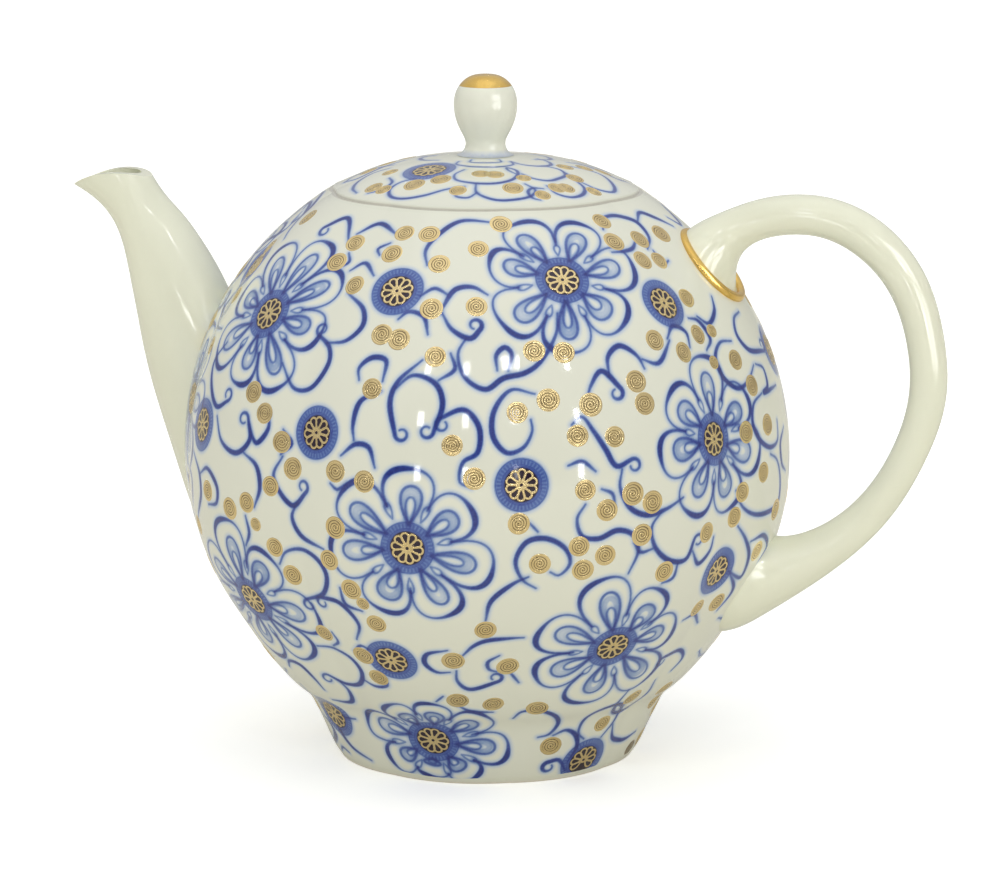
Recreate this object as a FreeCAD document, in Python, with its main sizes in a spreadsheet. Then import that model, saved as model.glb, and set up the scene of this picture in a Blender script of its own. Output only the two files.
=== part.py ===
import FreeCAD, Part
import Sketcher
import math
import os

# A porcelain teapot: a round pot with eight soft lobes on a conical foot, a hollow curved
# spout towards -X, a round loop handle towards +X, and a loose lid with a turned knob.
# Millimetres. The origin is the centre of the foot's resting plane and +Z is up.

Vector = FreeCAD.Vector
LOBES = 8
HALF_LOBE = math.pi / LOBES

doc = FreeCAD.newDocument("teapot")

# Driving dimensions: alias, value, meaning.
DIMENSIONS = [
    ("belly_radius", 89.6, "largest radius of the pot, on the crest of a lobe"),
    ("crease_depth", 2.8, "how far the valleys between lobes lie below the crests"),
    ("wall", 3.4, "thickness of the pot's wall"),
    ("foot_height", 20.0, "where the foot meets the pot"),
    ("foot_wall_radius", 39.0, "inside radius of the foot at its resting plane"),
    ("foot_spread", 8.0, "how much wider the inside of the foot is where it meets the pot"),
    ("floor_under", 17.0, "underside of the pot's floor"),
    ("floor_over", 22.0, "lowest level of the tea space"),
    ("rim_height", 166.6, "flat top of the pot, where the lid sits"),
    ("rim_thickness", 5.4, "thickness of the inward ledge at the rim"),
    ("opening_radius", 38.5, "opening that the lid closes"),
    ("lid_rim_height", 0.9, "upright edge of the lid"),
    ("lid_rim_radius", 45.0, "outside radius of the lid"),
    ("lid_top", 176.9, "top of the lid, under the knob"),
    ("lid_wall", 3.0, "thickness of the lid"),
    ("flange_radius", 37.4, "outside radius of the lid's flange"),
    ("flange_wall", 3.2, "thickness of the flange"),
    ("flange_depth", 10.0, "how far the flange reaches into the pot"),
    ("vent_radius", 1.6, "steam vent in the lid"),
    ("vent_offset", 24.0, "distance of the vent from the lid's axis"),
    ("knob_height", 23.1, "height of the knob above the lid"),
    ("knob_radius", 9.2, "largest radius of the knob"),
    ("gold_height", 197.0, "where the gold on the knob begins"),
    ("gold_thickness", 0.4, "thickness of the gold on the knob"),
    ("hole_radius", 2.0, "each strainer hole"),
    ("hole_pitch", 6.4, "distance between strainer holes"),
    ("strainer_height", 98.0, "height of the strainer's middle hole"),
    ("spout_wall", 2.6, "thickness of the spout's wall"),
    ("handle_radius", 5.5, "half thickness of the handle at its slimmest"),
    ("ring_radius", 11.9, "middle radius of the gold ring at the handle's upper root"),
    ("ring_thickness", 1.5, "half thickness of the gold ring"),
]

sheet = doc.addObject("Spreadsheet::Sheet", "sizes")
for row, (alias, value, meaning) in enumerate(DIMENSIONS, start=1):
    sheet.set("A%d" % row, alias)
    sheet.set("B%d" % row, str(value))
    sheet.set("C%d" % row, meaning)
    sheet.setAlias("B%d" % row, alias)
doc.recompute()


def size(alias):
    return float(sheet.get(alias))


# ---------------------------------------------------------------- helpers


def bind(feature, **expressions):
    """Ties properties to the sheet; an underscore in a name stands for a dot."""
    for name, expression in expressions.items():
        feature.setExpression(name.replace("_", "."), expression)


def add_shape(label, shape):
    feature = doc.addObject("Part::Feature", label)
    feature.Shape = shape
    return feature


def add_cylinder(label, radius, low, height):
    """An upright cylinder on the pot's axis, sized by expressions."""
    feature = doc.addObject("Part::Cylinder", label)
    bind(feature, Radius=radius, Height=height, Placement_Base_z=low)
    return feature


def add_foot_cone(label, low, high):
    """The space inside the foot between two heights: wider towards the pot."""
    spread = "sizes.foot_wall_radius + sizes.foot_spread * (%s) / sizes.foot_height"
    feature = doc.addObject("Part::Cone", label)
    bind(feature, Radius1=spread % low, Radius2=spread % high)
    bind(feature, Height="(%s) - (%s)" % (high, low), Placement_Base_z=low)
    return feature


def combine(kind, label, base, tool):
    feature = doc.addObject("Part::" + kind, label)
    feature.Base = base
    feature.Tool = tool
    return feature


def unite(label, shapes):
    feature = doc.addObject("Part::MultiFuse", label)
    feature.Shapes = shapes
    return feature


def plane_of(body, role):
    for feature in body.Origin.OriginFeatures:
        if feature.Role == role:
            return feature


def add_sketch(body, label, role, offset=None):
    """A sketch on one of the body's own origin planes."""
    sketch = body.newObject("Sketcher::SketchObject", label)
    sketch.AttachmentSupport = [(plane_of(body, role), "")]
    sketch.MapMode = "FlatFace"
    if offset:
        sketch.AttachmentOffset = offset
    return sketch


def bound_circle(sketch, radius):
    """A circle on the sketch's origin whose radius follows an expression."""
    circle = sketch.addGeometry(Part.Circle(Vector(0, 0, 0), Vector(0, 0, 1), 10.0), False)
    sketch.addConstraint(Sketcher.Constraint("Coincident", circle, 3, -1, 1))
    number = sketch.addConstraint(Sketcher.Constraint("Radius", circle, 10.0))
    sketch.setExpression("Constraints[%d]" % number, radius)


def tilted_plane(x, z, along):
    """Offset from the YZ plane to a plane at (x, z) that faces along a direction in XZ."""
    tilt = -math.degrees(math.atan2(along.z, along.x))
    return FreeCAD.Placement(Vector(0, z, x), FreeCAD.Rotation(Vector(1, 0, 0), tilt))


def loft(body, kind, label, sketches):
    feature = body.newObject("PartDesign::" + kind, label)
    feature.Profile = sketches[0]
    feature.Sections = sketches[1:]
    return feature


# ---------------------------------------------------------------- lobed shapes
# Outline of the pot and foot on the crest of a lobe: height, radius over the belly's
# radius, and the part of the full crease depth that the valleys have there.
FOOT_OUTLINE = [
    (0.0, 0.490, 0.25), (2.0, 0.505, 0.28), (8.0, 0.538, 0.35), (14.0, 0.569, 0.45),
    (20.0, 0.604, 0.55),
]
POT_OUTLINE = [
    (20.0, 0.604, 0.55), (22.0, 0.635, 0.62), (25.0, 0.671, 0.70), (32.0, 0.739, 0.80),
    (45.0, 0.839, 0.92), (65.0, 0.956, 1.00), (88.0, 1.000, 1.00), (105.0, 0.985, 1.00),
    (125.0, 0.918, 0.95), (145.0, 0.783, 0.80), (158.0, 0.641, 0.60), (167.8, 0.492, 0.45),
]


def lobed_wire(height, crest, depth):
    """A closed wire of eight arcs, each bulging out to the crest of its lobe."""
    valley = crest - depth
    arcs = []
    for lobe in range(LOBES):
        middle = lobe * 2.0 * HALF_LOBE
        points = [
            Vector(valley * math.cos(middle - HALF_LOBE), valley * math.sin(middle - HALF_LOBE), height),
            Vector(crest * math.cos(middle), crest * math.sin(middle), height),
            Vector(valley * math.cos(middle + HALF_LOBE), valley * math.sin(middle + HALF_LOBE), height),
        ]
        arcs.append(Part.Arc(*points).toShape())
    return Part.Wire(arcs)


def lobed_solid(sections):
    """A closed solid lofted through lobed wires given as (height, crest radius, depth)."""
    wires = [lobed_wire(*section) for section in sections]
    return Part.makeLoft(wires, True, False)


def outline_sections(outline):
    belly = size("belly_radius")
    depth = size("crease_depth")
    return [(height, belly * share, depth * fade) for height, share, fade in outline]


def inset_sections(outline, wall):
    """The same outline moved inwards by the wall, measured square to the surface."""
    sections = outline_sections(outline)
    curve = Part.BSplineCurve()
    curve.interpolate([Vector(radius, 0, height) for height, radius, depth in sections])
    inset = []
    for height, radius, depth in sections:
        along = curve.tangent(curve.parameter(Vector(radius, 0, height)))[0]
        inset.append((height + wall * along.x, radius - wall * along.z, depth))
    return inset


# ---------------------------------------------------------------- pot and foot

pot_outside = add_shape("pot_outside", lobed_solid(outline_sections(POT_OUTLINE)))
pot_inside = add_shape("pot_inside", lobed_solid(inset_sections(POT_OUTLINE, size("wall"))))
foot_outside = add_shape("foot_outside", lobed_solid(outline_sections(FOOT_OUTLINE)))


def make_strainer_holes():
    """Nineteen holes in a hexagon through the wall behind the spout."""
    pitch = size("hole_pitch")
    reach = size("belly_radius")
    holes = []
    for row in range(-2, 3):
        count = 5 - abs(row)
        for place in range(count):
            y = pitch * (place - (count - 1) / 2.0)
            z = size("strainer_height") + pitch * row * math.sqrt(0.75)
            start = Vector(-reach - 5.0, y, z)
            holes.append(Part.makeCylinder(size("hole_radius"), 20.0, start, Vector(1, 0, 0)))
    return add_shape("strainer_holes", Part.makeCompound(holes))


def make_body_shell():
    tea_space = add_cylinder(
        "tea_space", "sizes.belly_radius + 5", "sizes.floor_over",
        "sizes.rim_height - sizes.rim_thickness - sizes.floor_over")
    cavity = combine("Common", "cavity", pot_inside, tea_space)
    opening = add_cylinder(
        "opening", "sizes.opening_radius", "sizes.rim_height - 20", "40")
    above_rim = add_cylinder("above_rim", "sizes.belly_radius", "sizes.rim_height", "20")
    hollows = unite("hollows", [cavity, opening, above_rim, make_strainer_holes()])
    floor_boss = add_foot_cone("floor_boss", "sizes.floor_under", "sizes.foot_height")
    blank = unite("pot_blank", [pot_outside, floor_boss])
    return combine("Cut", "body_shell", blank, hollows)


def make_foot_ring():
    inside = add_foot_cone("foot_inside", "-5", "sizes.foot_height + 5")
    return combine("Cut", "foot_ring", foot_outside, inside)


# ---------------------------------------------------------------- spout

# Sections of the spout from its root to past its mouth: front x and z, back x and z,
# and half the width across.
SPOUT_SECTIONS = [
    (-72.0, 50.0, -66.0, 126.0, 21.0),
    (-90.6, 70.0, -79.2, 132.8, 18.0),
    (-97.6, 90.0, -82.3, 139.4, 15.0),
    (-103.5, 109.0, -87.5, 148.1, 12.6),
    (-107.1, 127.0, -94.3, 156.9, 10.9),
    (-110.5, 144.5, -101.6, 165.2, 9.5),
    (-115.5, 155.5, -105.5, 171.5, 8.6),
    (-124.0, 162.5, -109.0, 176.5, 8.0),
    (-134.0, 169.0, -114.0, 182.0, 7.6),
]
MOUTH_CENTRE = (-111.5, 142.1)
MOUTH_RADIUS = 26.5


def spout_sketches(body, label, inset):
    sketches = []
    for number, (front_x, front_z, back_x, back_z, half_width) in enumerate(SPOUT_SECTIONS):
        rise = Vector(back_x - front_x, 0, back_z - front_z)
        half_length = rise.Length / 2.0 - inset
        middle = Vector((front_x + back_x) / 2.0, 0, (front_z + back_z) / 2.0)
        facing = Vector(rise.z, 0, -rise.x)
        offset = tilted_plane(middle.x, middle.z, facing)
        sketch = add_sketch(body, "%s_%d" % (label, number), "YZ_Plane", offset)
        oval = Part.Ellipse(Vector(0, half_length, 0), Vector(half_width - inset, 0, 0), Vector(0, 0, 0))
        sketch.addGeometry(oval, False)
        sketches.append(sketch)
    return sketches


def add_mouth_cut(body):
    """The mouth's rim is an arc seen from the side, highest in its middle."""
    centre_x, centre_z = MOUTH_CENTRE
    reach = MOUTH_RADIUS * math.sin(math.radians(75.0))
    rise = MOUTH_RADIUS * math.cos(math.radians(75.0))
    left = Vector(centre_x - reach, centre_z + rise, 0)
    right = Vector(centre_x + reach, centre_z + rise, 0)
    crown = Vector(centre_x, centre_z + MOUTH_RADIUS, 0)
    lift = Vector(0, 60.0, 0)
    sketch = add_sketch(body, "mouth_outline", "XZ_Plane")
    sketch.addGeometry(Part.Arc(left, crown, right), False)
    for start, end in ((right, right + lift), (right + lift, left + lift), (left + lift, left)):
        sketch.addGeometry(Part.LineSegment(start, end), False)
    pocket = body.newObject("PartDesign::Pocket", "mouth")
    pocket.Profile = sketch
    pocket.SideType = "Symmetric"
    pocket.Type = "Length"
    pocket.Length = 80.0


def make_spout():
    body = doc.addObject("PartDesign::Body", "spout_body")
    loft(body, "AdditiveLoft", "spout_outside", spout_sketches(body, "spout_outer", 0.0))
    loft(body, "SubtractiveLoft", "spout_inside", spout_sketches(body, "spout_inner", size("spout_wall")))
    add_mouth_cut(body)
    doc.recompute()
    return add_shape("spout", body.Shape.cut(pot_outside.Shape))


# ---------------------------------------------------------------- handle

# Middle line of the handle from the upper root to the lower root: x, z, and the half
# thickness there over the slimmest half thickness.
HANDLE_LINE = [
    (59.5, 139.0, 2.50), (66.2, 146.0, 2.20), (69.0, 152.0, 1.66), (73.0, 156.5, 1.23),
    (79.5, 160.2, 1.05), (88.5, 162.4, 1.04), (101.5, 161.8, 1.06), (114.0, 155.7, 1.08),
    (123.8, 144.6, 1.04), (129.6, 128.0, 0.98), (130.6, 112.0, 0.97), (125.8, 95.2, 0.92),
    (115.0, 77.4, 0.98), (101.8, 65.8, 1.19), (90.8, 60.0, 1.62), (82.0, 57.9, 2.38),
    (64.0, 57.0, 3.10),
]
# At the upper root the handle is mitred to the pot: its first sections lean by these
# angles, in degrees from upright. The others stand square to the middle line.
ROOT_LEANS = [42.0, 42.0, 35.0, 26.6, 15.6]
RING_CENTRE = Vector(67.4, 0, 147.1)


def facing_at(place):
    if place < len(ROOT_LEANS):
        lean = math.radians(ROOT_LEANS[place])
        return Vector(math.cos(lean), 0, math.sin(lean))
    curve = Part.BSplineCurve()
    curve.interpolate([Vector(x, 0, z) for x, z, share in HANDLE_LINE])
    x, z, share = HANDLE_LINE[place]
    return curve.tangent(curve.parameter(Vector(x, 0, z)))[0]


def make_handle_body():
    body = doc.addObject("PartDesign::Body", "handle_body")
    sketches = []
    for number, (x, z, share) in enumerate(HANDLE_LINE):
        offset = tilted_plane(x, z, facing_at(number))
        sketch = add_sketch(body, "handle_section_%d" % number, "YZ_Plane", offset)
        bound_circle(sketch, "sizes.handle_radius * %s" % share)
        sketches.append(sketch)
    loft(body, "AdditiveLoft", "handle_loft", sketches)
    return body


def make_gold_ring(handle_body):
    """A round ring where the handle leaves the pot; only its outer part stands proud."""
    ring = doc.addObject("Part::Torus", "ring_blank")
    bind(ring, Radius1="sizes.ring_radius", Radius2="sizes.ring_thickness")
    turn = FreeCAD.Rotation(Vector(0, 0, 1), facing_at(1))
    ring.Placement = FreeCAD.Placement(RING_CENTRE, turn)
    inside = unite("ring_inside", [pot_outside, handle_body])
    return combine("Cut", "handle_gold_ring", ring, inside)


# ---------------------------------------------------------------- lid

# The lid's dome above its upright edge: height over the rise from rim to top, radius
# over the rim's radius, and depth of the flutes over the pot's full crease depth.
LID_OUTLINE = [
    (0.0, 0.990, 0.38), (0.09, 0.940, 0.36), (0.28, 0.850, 0.32), (0.52, 0.725, 0.26),
    (0.76, 0.540, 0.18), (0.90, 0.340, 0.07), (1.0, 0.164, 0.01),
]


def make_lid_dome():
    rim = size("rim_height")
    edge = rim + size("lid_rim_height")
    rise = size("lid_top") - edge
    radius = size("lid_rim_radius")
    depth = size("crease_depth")
    flute = depth * LID_OUTLINE[0][2]
    dome = lobed_solid([(edge + rise * up, radius * out, depth * fade) for up, out, fade in LID_OUTLINE])
    band = lobed_solid([(rim, radius, flute), (edge, radius * LID_OUTLINE[0][1], flute)])
    blank = unite("lid_blank", [add_shape("lid_crown", dome), add_shape("lid_edge", band)])
    hollow = doc.addObject("Part::Sphere", "lid_hollow")
    base = "(sizes.flange_radius - sizes.flange_wall)"
    height = "(sizes.lid_top - sizes.rim_height - sizes.lid_wall)"
    bind(hollow, Radius="(%s^2 + %s^2) / (2 * %s)" % (base, height, height))
    bind(hollow, Placement_Base_z="sizes.lid_top - sizes.lid_wall - Radius / 1 mm")
    vent = add_cylinder("vent", "sizes.vent_radius", "sizes.rim_height - 5", "30")
    bind(vent, Placement_Base_y="sizes.vent_offset")
    return combine("Cut", "lid_dome", blank, unite("lid_hollows", [hollow, vent]))


def make_lid_flange():
    body = doc.addObject("PartDesign::Body", "lid_flange")
    sketch = add_sketch(body, "flange_outline", "XY_Plane")
    bound_circle(sketch, "sizes.flange_radius")
    bound_circle(sketch, "sizes.flange_radius - sizes.flange_wall")
    pad = body.newObject("PartDesign::Pad", "flange_pad")
    pad.Profile = sketch
    pad.setExpression("Length", "sizes.flange_depth")
    body.setExpression("Placement.Base.z", "sizes.rim_height - sizes.flange_depth")
    return body


# The knob's profile: radius over its largest radius, height over its full height.
KNOB_OUTLINE = [
    (0.90, 0.0), (0.70, 0.055), (0.63, 0.14), (0.79, 0.306), (0.97, 0.51), (1.0, 0.62),
    (0.92, 0.805), (0.68, 0.936), (0.0, 1.0),
]


def make_knob_form():
    body = doc.addObject("PartDesign::Body", "knob_form")
    sketch = add_sketch(body, "knob_outline", "XZ_Plane")
    radius = size("knob_radius")
    height = size("knob_height")
    points = [Vector(radius * out, height * up, 0) for out, up in KNOB_OUTLINE]
    curve = Part.BSplineCurve()
    curve.interpolate(points)
    sketch.addGeometry(curve, False)
    sketch.addGeometry(Part.LineSegment(points[-1], Vector(0, 0, 0)), False)
    sketch.addGeometry(Part.LineSegment(Vector(0, 0, 0), points[0]), False)
    turned = body.newObject("PartDesign::Revolution", "knob_turned")
    turned.Profile = sketch
    turned.ReferenceAxis = (sketch, ["V_Axis"])
    turned.Angle = 360.0
    body.setExpression("Placement.Base.z", "sizes.lid_top")
    return body


def make_knob_pieces():
    """The gold is a thin skin over the knob's top, and the porcelain is cut back under it."""
    form = make_knob_form()
    doc.recompute()
    gold_space = add_cylinder("gold_space", "sizes.knob_radius + 5", "sizes.gold_height", "10")
    gold_blank = combine("Common", "gold_blank", form, gold_space)
    core = add_shape("knob_core", form.Shape.translated(Vector(0, 0, -size("gold_thickness"))))
    cap = combine("Cut", "knob_gold_cap", gold_blank, core)
    knob = combine("Cut", "lid_knob", form, cap)
    return knob, cap


# ---------------------------------------------------------------- build, test and write

handle_body = make_handle_body()
knob, cap = make_knob_pieces()
pieces = [
    make_body_shell(),
    make_foot_ring(),
    make_spout(),
    combine("Cut", "handle", handle_body, pot_outside),
    make_gold_ring(handle_body),
    make_lid_dome(),
    make_lid_flange(),
    knob,
    cap,
]
doc.recompute()

for feature in doc.Objects:
    if "Invalid" in feature.State or "Error" in feature.State:
        raise RuntimeError("%s failed: %s" % (feature.Label, feature.State))

os.makedirs("parts", exist_ok=True)
for piece in pieces:
    shape = piece.Shape
    if shape.isNull() or not shape.isValid() or not shape.Solids:
        raise RuntimeError("%s has no valid solid" % piece.Label)
    shape.exportStep(os.path.join("parts", piece.Label + ".step"))
    print("%-18s solids %d  volume %9.1f mm3" % (piece.Label, len(shape.Solids), shape.Volume))
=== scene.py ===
import math

import bpy
import numpy as np
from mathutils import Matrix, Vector
from mathutils.bvhtree import BVHTree


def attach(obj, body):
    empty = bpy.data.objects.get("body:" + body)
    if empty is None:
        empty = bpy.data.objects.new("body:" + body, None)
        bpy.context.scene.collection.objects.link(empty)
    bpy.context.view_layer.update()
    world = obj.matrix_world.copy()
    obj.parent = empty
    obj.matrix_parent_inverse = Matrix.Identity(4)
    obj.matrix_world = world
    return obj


# A porcelain teapot with cobalt flowers and gold. Blender works in metres; the drawing below
# is in millimetres and degrees, and MM turns one into the other.
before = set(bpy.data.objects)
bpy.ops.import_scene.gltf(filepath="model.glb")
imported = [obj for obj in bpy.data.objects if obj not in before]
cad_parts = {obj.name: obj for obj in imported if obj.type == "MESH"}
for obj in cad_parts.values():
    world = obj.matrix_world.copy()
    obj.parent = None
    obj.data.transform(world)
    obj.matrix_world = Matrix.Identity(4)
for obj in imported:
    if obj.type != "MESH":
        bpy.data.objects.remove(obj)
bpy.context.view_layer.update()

MM = 0.001
LOBES = 8
LOBE = 2.0 * math.pi / LOBES
CREST_ANGLE = 0.0
VALLEY_ANGLE = -LOBE / 2.0
DESIGN_MIDDLE = math.radians(-75.0)
BOTH_SIDES = (DESIGN_MIDDLE, DESIGN_MIDDLE + math.pi)
RAY_LENGTH = 400.0


# ---------------------------------------------------------------- measuring the frame


def cad_tree(*names):
    """One search tree, in millimetres, of some CAD nodes."""
    points = []
    faces = []
    for name in names:
        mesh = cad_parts[name].data
        start = len(points)
        points += [vertex.co / MM for vertex in mesh.vertices]
        faces += [[start + corner for corner in face.vertices] for face in mesh.polygons]
    return BVHTree.FromPolygons(points, faces)


def star_distance(tree, centre_height, angle, elevation):
    """Distance from a point on the axis to the outside of the solid in one direction."""
    flat = math.cos(elevation)
    outward = Vector((flat * math.cos(angle), flat * math.sin(angle), math.sin(elevation)))
    centre = Vector((0.0, 0.0, centre_height))
    reach = RAY_LENGTH
    hit = tree.ray_cast(centre + outward * reach, -outward, reach)[0]
    return (hit - centre).length if hit else -1.0


def smooth(values, wavelength):
    """The smoothest curve near some samples, so the facets of the CAD mesh don't show."""
    third = np.diff(np.eye(len(values)), 3, axis=0)
    weight = (wavelength / (2.0 * math.pi)) ** 6
    return np.linalg.solve(np.eye(len(values)) + weight * third.T @ third, values)


def valley_share(angle):
    """0 on the crest of a lobe and nearly 1 in the soft valley between two lobes."""
    half = LOBE / 2.0
    from_crest = np.abs((angle + half) % LOBE - half)
    softness = math.radians(1.6)
    from_valley = np.sqrt((half - from_crest) ** 2 + softness ** 2)
    return (1.0 - from_valley / half) ** 2


class Skin:
    """A painted, lobed surface, addressed by the angle round the axis and the distance
    along its outline. Cobalt, night and umber are how much ink lies at each of its points."""

    FINE = 0.2
    SOFTNESS = 50.0
    LOWEST_RAY = -64.0
    HIGHEST_RAY = 86.0
    RAYS = 1200

    def __init__(self, tree, centre_height, low, high, columns, rows):
        elevations = np.radians(np.linspace(self.LOWEST_RAY, self.HIGHEST_RAY, self.RAYS))
        crest = np.array([star_distance(tree, centre_height, CREST_ANGLE, e) for e in elevations])
        height = centre_height + crest * np.sin(elevations)
        kept = (height > low) & (height < high) & (crest > 0.0)
        elevations = elevations[kept]
        valley = np.array([star_distance(tree, centre_height, VALLEY_ANGLE, e) for e in elevations])
        crest = smooth(crest[kept], self.SOFTNESS)
        valley = smooth(valley, self.SOFTNESS)
        radius = crest * np.cos(elevations)
        height = centre_height + crest * np.sin(elevations)
        along = np.concatenate([[0.0], np.cumsum(np.hypot(np.diff(radius), np.diff(height)))])
        self.length = along[-1]
        self.table = np.linspace(0.0, self.length, int(self.length / self.FINE))
        self.elevation = np.interp(self.table, along, elevations)
        self.crest = np.interp(self.table, along, crest)
        self.depth = np.interp(self.table, along, crest - valley)
        self.radius = np.interp(self.table, along, radius)
        self.height = np.interp(self.table, along, height)
        self.centre_height = centre_height
        self.columns = columns
        self.step = 2.0 * math.pi / columns
        self.first = -LOBE / 2.0
        self.along = np.linspace(0.0, self.length, rows + 1)
        self.cobalt = np.zeros((columns, rows + 1), np.float32)
        self.night = np.zeros((columns, rows + 1), np.float32)
        self.umber = np.zeros((columns, rows + 1), np.float32)

    def along_at(self, height):
        return np.interp(height, self.height, self.table)

    def radius_at(self, along):
        return np.interp(along, self.table, self.radius)

    def bare(self, angle, along):
        elevation = np.interp(along, self.table, self.elevation)
        reach = np.interp(along, self.table, self.crest)
        reach = reach - np.interp(along, self.table, self.depth) * valley_share(angle)
        flat = reach * np.cos(elevation)
        x = flat * np.cos(angle)
        y = flat * np.sin(angle)
        z = self.centre_height + reach * np.sin(elevation)
        return np.stack(np.broadcast_arrays(x, y, z), axis=-1)

    def normal(self, angle, along):
        turn = 0.004
        step = 0.6
        low = np.maximum(along - step, 0.0)
        high = np.minimum(along + step, self.length)
        across = self.bare(angle + turn, along) - self.bare(angle - turn, along)
        up = self.bare(angle, high) - self.bare(angle, low)
        facing = np.cross(across, up)
        return facing / np.linalg.norm(facing, axis=-1, keepdims=True)

    def place(self, angle, along, lift=0.0):
        return self.bare(angle, along) + np.expand_dims(lift, -1) * self.normal(angle, along)

    def locate(self, angle, along, points):
        """Flat drawing millimetres round a place on the skin, turned into skin coordinates."""
        up = along + points[:, 1]
        return angle + points[:, 0] / np.maximum(self.radius_at(up), 4.0), up

    def offset(self, angle, along, grid_angle, grid_along):
        """The flat drawing millimetres of a grid of places, seen from one place."""
        x = (grid_angle - angle)[:, None] * self.radius_at(grid_along)[None, :]
        y = (grid_along - along)[None, :] + 0.0 * x
        return x, y

    def window(self, angle, along, reach):
        """Columns, rows and their coordinates that lie within reach of some points."""
        first_row = int(np.searchsorted(self.along, np.min(along) - reach))
        last_row = int(np.searchsorted(self.along, np.max(along) + reach))
        rows = np.arange(first_row, min(last_row, len(self.along)))
        narrow = float(np.min(self.radius_at(self.along[rows]))) if len(rows) else 5.0
        side = min(reach / max(narrow, 5.0), 1.5)
        first = math.floor((np.min(angle) - side - self.first) / self.step)
        last = math.ceil((np.max(angle) + side - self.first) / self.step)
        columns = np.arange(first, last + 1)
        return columns, rows, self.first + columns * self.step, self.along[rows]

    def window_round(self, angle, along, reach):
        return self.window(np.array([angle]), np.array([along]), reach)

    def lay(self, layer, columns, rows, amount):
        """Adds ink the way washes of paint build up."""
        if not len(rows):
            return
        place = np.ix_(columns % self.columns, rows)
        layer[place] = 1.0 - (1.0 - layer[place]) * (1.0 - amount)


def fade(distance, edge):
    """1 well inside an edge, 0 well outside it, soft between."""
    share = np.clip(0.5 + distance / edge, 0.0, 1.0)
    return share * share * (3.0 - 2.0 * share)


# ---------------------------------------------------------------- brush strokes

EDGE = 0.75
BLEED = 1.5
BLEED_STRENGTH = 0.22
CURL_RADIUS = 1.9
SWELL_EVERY = 40.0
FULL_SWELL_FROM = 18.0
CHUNK = 5


def stroke(skin, angles, alongs, half_width, strength):
    """Paints a line whose half width changes from point to point."""
    reach = float(np.max(half_width)) + BLEED + EDGE
    columns, rows, grid_angle, grid_along = skin.window(angles, alongs, reach)
    if not len(rows):
        return
    layer = np.zeros((len(columns), len(rows)), np.float32)
    radius = skin.radius_at(grid_along)
    for start in range(0, len(angles) - 1, CHUNK):
        part = slice(start, min(start + CHUNK + 1, len(angles)))
        a = angles[part]
        s = alongs[part]
        w = half_width[part]
        side = reach / max(float(np.min(radius)), 5.0)
        keep_c = np.nonzero((grid_angle > a.min() - side) & (grid_angle < a.max() + side))[0]
        keep_r = np.nonzero((grid_along > s.min() - reach) & (grid_along < s.max() + reach))[0]
        if not len(keep_c) or not len(keep_r):
            continue
        r = radius[keep_r][None, :, None]
        x = r * (grid_angle[keep_c][:, None, None] - a[:-1])
        y = (grid_along[keep_r][None, :, None] - s[:-1]) + 0.0 * x
        step_x = r * np.diff(a)
        step_y = np.diff(s)
        size = step_x ** 2 + step_y ** 2 + 1e-9
        t = np.clip((x * step_x + y * step_y) / size, 0.0, 1.0)
        half = w[:-1] + t * np.diff(w)
        gap = np.hypot(x - t * step_x, y - t * step_y) - half
        load = strength * np.clip(0.58 + 0.50 * half, 0.0, 1.0)
        ink = (load * fade(-gap, EDGE)).max(axis=2)
        gap = gap.min(axis=2)
        halo = np.exp(-(np.maximum(gap, 0.0) / BLEED * 2.0) ** 2)
        ink = np.maximum(ink, BLEED_STRENGTH * strength * halo)
        spot = np.ix_(keep_c, keep_r)
        layer[spot] = np.maximum(layer[spot], ink)
    skin.lay(skin.cobalt, columns, rows, layer)


def local_stroke(skin, angle, along, points, half_width, strength):
    angles, alongs = skin.locate(angle, along, points)
    half_width = np.broadcast_to(half_width, angles.shape)
    stroke(skin, angles, alongs, half_width, strength)


def curve_points(knots, step=0.8):
    """A smooth curve through some flat points."""
    first = 2.0 * knots[0] - knots[1]
    last = 2.0 * knots[-1] - knots[-2]
    chain = np.concatenate([[first], knots, [last]])
    pieces = []
    for at in range(len(knots) - 1):
        p0, p1, p2, p3 = chain[at:at + 4]
        before = max(np.hypot(*(p1 - p0)), 0.1) ** 0.5
        span = max(np.hypot(*(p2 - p1)), 0.1) ** 0.5
        after = max(np.hypot(*(p3 - p2)), 0.1) ** 0.5
        out = (p1 - p0) / before - (p2 - p0) / (before + span) + (p2 - p1) / span
        into = (p2 - p1) / span - (p3 - p1) / (span + after) + (p3 - p2) / after
        count = max(int(span * span / step), 3)
        t = np.linspace(0.0, 1.0, count, endpoint=False)[:, None]
        a = 2.0 * (p1 - p2) + span * (out + into)
        b = 3.0 * (p2 - p1) - span * (2.0 * out + into)
        pieces.append(p1 + t * (span * out + t * (b + t * a)))
    pieces.append(knots[-1:])
    return np.concatenate(pieces)


def curl_points(tip, before, side):
    """The small loop that a line ends in, turning to one side of where it was heading."""
    heading = math.atan2(tip[1] - before[1], tip[0] - before[0])
    turn = np.linspace(0.0, 1.6 * math.pi, 16)[1:]
    out = CURL_RADIUS * (1.0 - 0.35 * turn / turn[-1])
    aim = heading - side * math.pi / 2.0
    circle = np.stack([out * np.cos(aim + side * turn), out * np.sin(aim + side * turn)], axis=1)
    return tip - CURL_RADIUS * np.array([math.cos(aim), math.sin(aim)]) + circle


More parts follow.
